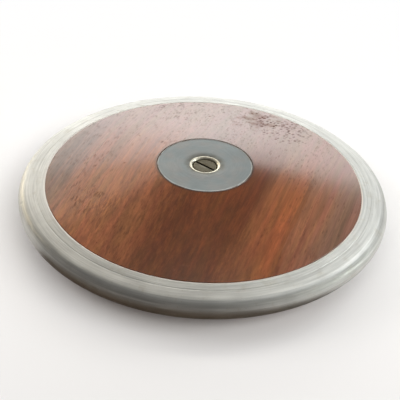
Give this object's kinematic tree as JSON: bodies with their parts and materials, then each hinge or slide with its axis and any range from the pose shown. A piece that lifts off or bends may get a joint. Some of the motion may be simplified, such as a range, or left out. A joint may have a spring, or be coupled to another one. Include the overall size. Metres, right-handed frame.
{
  "type": "throwing discus",
  "caption": "Throwing discus: wooden sides in a round-edged steel rim, flush centre plates and a sunk slotted centre screw.",
  "frame": {"origin": "centre of the discus, on its axis and on its middle plane", "axes": "+Z along the axis, out of the upper side; +X to the right and +Y away as in the picture's view"},
  "size_m": [0.201, 0.201, 0.039],
  "materials": {
    "rim_steel": "turned and worn bright, with handling marks",
    "centre_board_wood": "reddish brown hardwood, streaked, oiled",
    "left_board_wood": "greyish brown hardwood, oiled",
    "right_board_wood": "darker brown hardwood, oiled",
    "plate_steel": "zinc-grey, satin, lightly scratched",
    "cup_nickel": "bright nickel, turned",
    "screw_steel": "dull brown-grey, handled",
    "weight_iron": "as cast, turned faces",
    "washer_steel": "stamped sheet",
    "pin_steel": "ground"
  },
  "bodies": {
    "root": {"rim": "rim_steel", "rim_pin_1": "pin_steel", "rim_pin_2": "pin_steel", "rim_pin_3": "pin_steel", "rim_pin_4": "pin_steel", "rim_pin_5": "pin_steel", "rim_pin_6": "pin_steel", "rim_pin_7": "pin_steel", "rim_pin_8": "pin_steel", "upper_left_board": "left_board_wood", "upper_centre_board": "centre_board_wood", "upper_right_board": "right_board_wood", "upper_plate": "plate_steel", "upper_screw_cup": "cup_nickel", "upper_core_weight": "weight_iron", "upper_trim_washer": "washer_steel", "lower_near_board": "left_board_wood", "lower_centre_board": "centre_board_wood", "lower_far_board": "right_board_wood", "lower_plate": "plate_steel", "lower_screw_cup": "cup_nickel", "lower_core_weight": "weight_iron", "lower_trim_washer": "washer_steel", "centre_screw": "screw_steel", "sleeve_nut": "screw_steel"}
  },
  "joints": []
}
